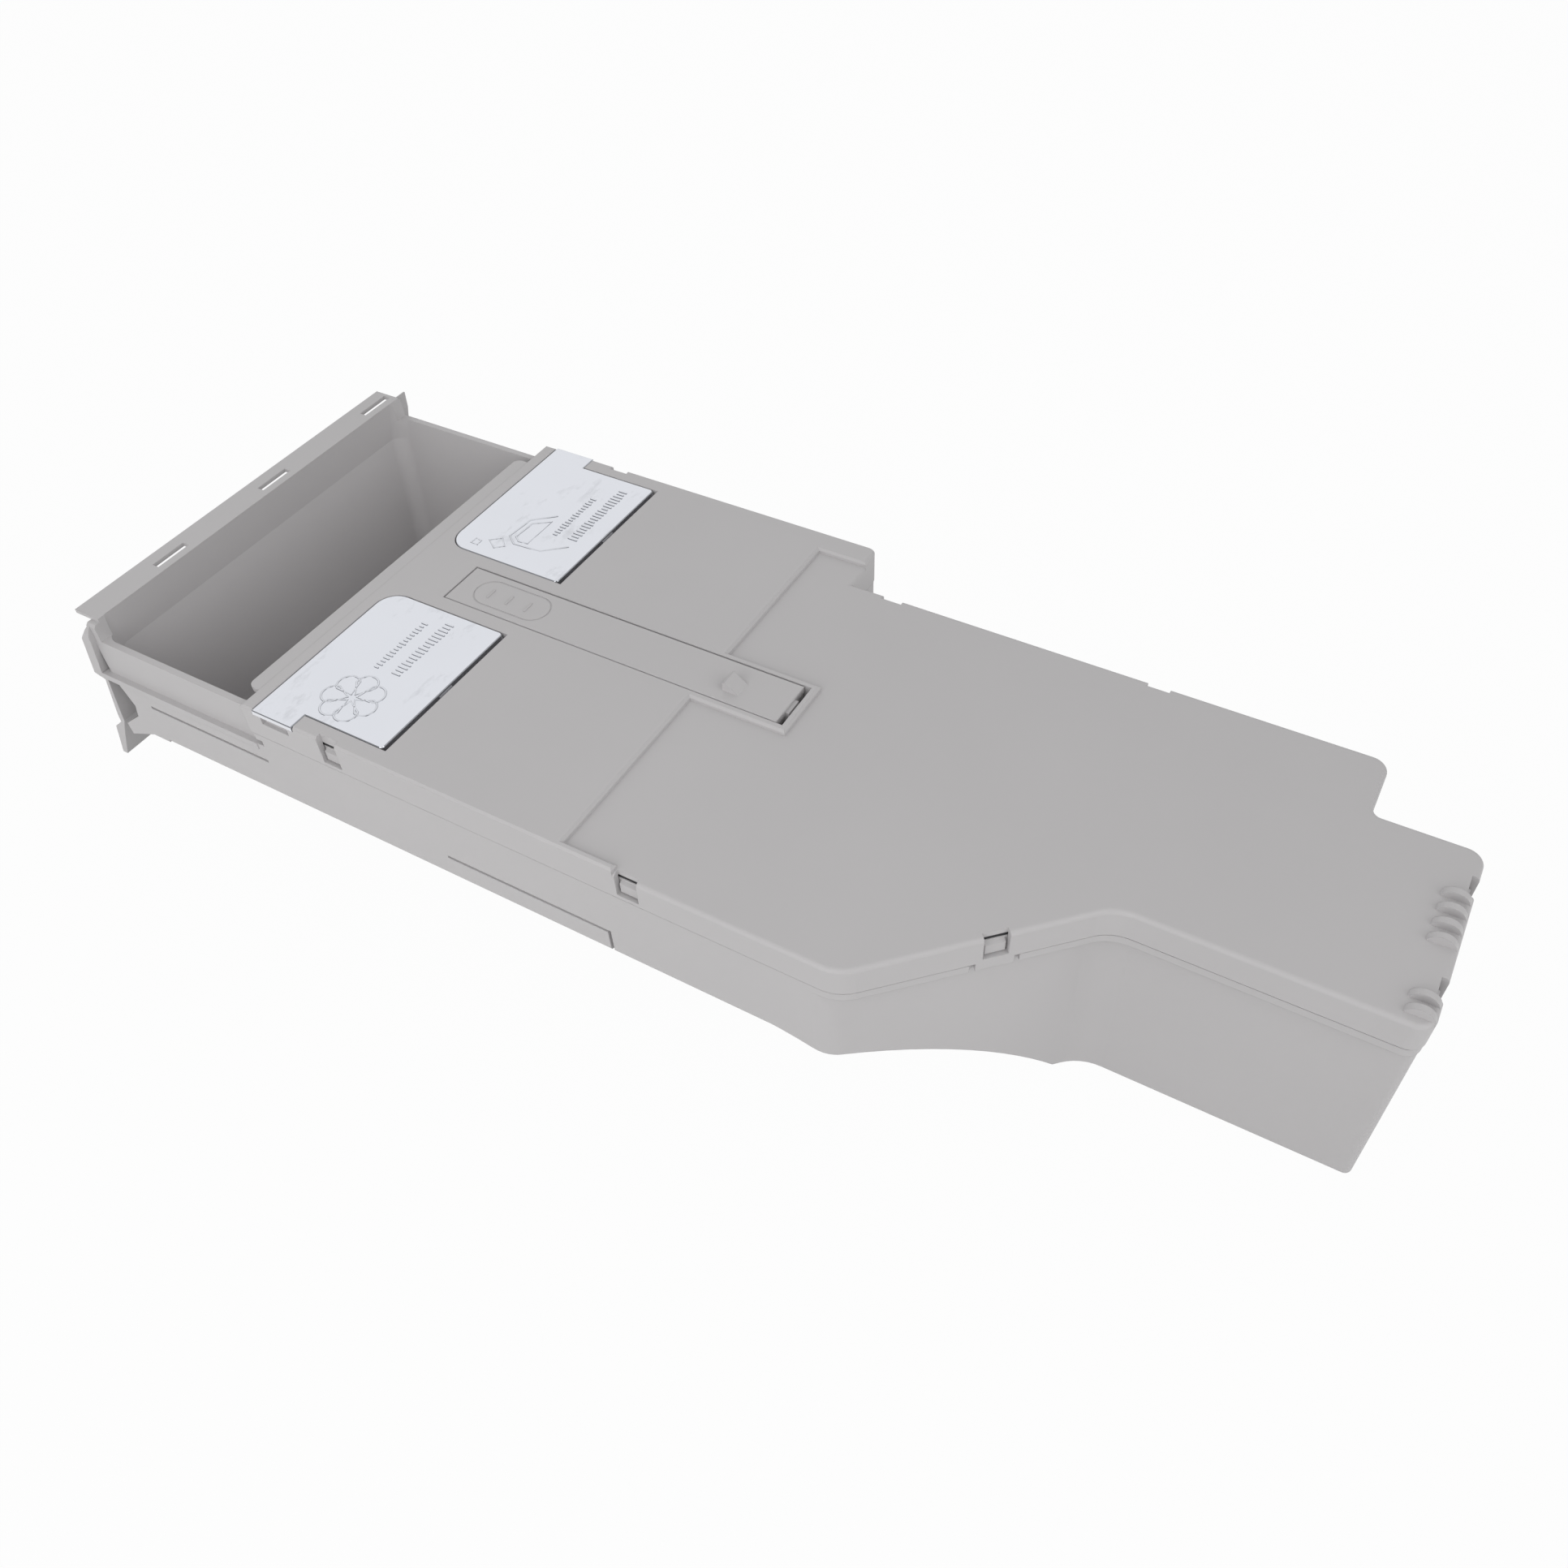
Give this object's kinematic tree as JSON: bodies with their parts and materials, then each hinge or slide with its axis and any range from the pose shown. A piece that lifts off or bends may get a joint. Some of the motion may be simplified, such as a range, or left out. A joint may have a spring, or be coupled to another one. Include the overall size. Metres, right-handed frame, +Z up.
{
  "type": "detergent dispenser drawer",
  "caption": "Washing machine dispenser drawer with a powder compartment, closed liquid tanks under chromed flip lids, a release lever and a deep rear sump.",
  "frame": {"origin": "under the middle of the whole drawer, level with the sump's underside", "axes": "+X to the user's right, +Y from the front panel to the back, +Z up"},
  "size_m": [0.1804, 0.49, 0.098],
  "materials": {
    "moulded_grey": "light warm grey moulded polypropylene, fine matt grain",
    "chromed_lid": "bright chrome plating on plastic, slightly smudged",
    "seal_rubber": "soft black rubber",
    "steel": "drawn stainless wire and rod",
    "white_acetal": "natural white acetal",
    "magnet": "sintered magnet"
  },
  "bodies": {
    "drawer": {"drawer_body": "moulded_grey", "tank_cover": "moulded_grey", "tank_gasket": "seal_rubber", "lever_pin": "steel", "lever_spring": "steel", "detergent_lid_pin": "steel", "detergent_lid_seal": "seal_rubber", "detergent_valve_cage": "white_acetal", "detergent_valve_spring": "steel", "detergent_float_pin": "steel", "softener_lid_pin": "steel", "softener_lid_seal": "seal_rubber", "softener_valve_cage": "white_acetal", "softener_valve_spring": "steel", "softener_float_pin": "steel"},
    "lever": {"release_lever": "moulded_grey"},
    "detergent_lid": {"detergent_lid": "chromed_lid"},
    "detergent_float": {"detergent_float": "white_acetal", "detergent_float_magnet": "magnet"},
    "detergent_valve": {"detergent_valve_poppet": "white_acetal", "detergent_valve_seal": "seal_rubber"},
    "softener_lid": {"softener_lid": "chromed_lid"},
    "softener_float": {"softener_float": "white_acetal", "softener_float_magnet": "magnet"},
    "softener_valve": {"softener_valve_poppet": "white_acetal", "softener_valve_seal": "seal_rubber"}
  },
  "joints": [
    {"name": "lever_press", "type": "hinge", "parent": "drawer", "child": "lever", "pos_m": [0, 0.022, 0.087], "axis": [1, 0, 0], "range_deg": [0, 6], "stiffness_Nm_per_rad": 1.2, "springref_deg": -3.44, "deforming": ["lever_spring"]},
    {"name": "detergent_lid_hinge", "type": "hinge", "parent": "drawer", "child": "detergent_lid", "pos_m": [-0.0498, -0.0882, 0.0892], "axis": [-1, 0, 0], "range_deg": [0, 95]},
    {"name": "detergent_float_swing", "type": "hinge", "parent": "drawer", "child": "detergent_float", "pos_m": [-0.023, 0.178, 0.07], "axis": [1, 0, 0], "range_deg": [0, 50]},
    {"name": "detergent_valve_slide", "type": "slide", "parent": "drawer", "child": "detergent_valve", "axis": [0, -1, 0], "range_m": [0, 0.004], "stiffness_N_per_m": 80, "springref_m": -0.004, "deforming": ["detergent_valve_spring"]},
    {"name": "softener_lid_hinge", "type": "hinge", "parent": "drawer", "child": "softener_lid", "pos_m": [0.0498, -0.0882, 0.0892], "axis": [-1, 0, 0], "range_deg": [0, 95]},
    {"name": "softener_float_swing", "type": "hinge", "parent": "drawer", "child": "softener_float", "pos_m": [0.009, 0.178, 0.07], "axis": [1, 0, 0], "range_deg": [0, 50]},
    {"name": "softener_valve_slide", "type": "slide", "parent": "drawer", "child": "softener_valve", "axis": [0, -1, 0], "range_m": [0, 0.004], "stiffness_N_per_m": 80, "springref_m": -0.004, "deforming": ["softener_valve_spring"]}
  ]
}
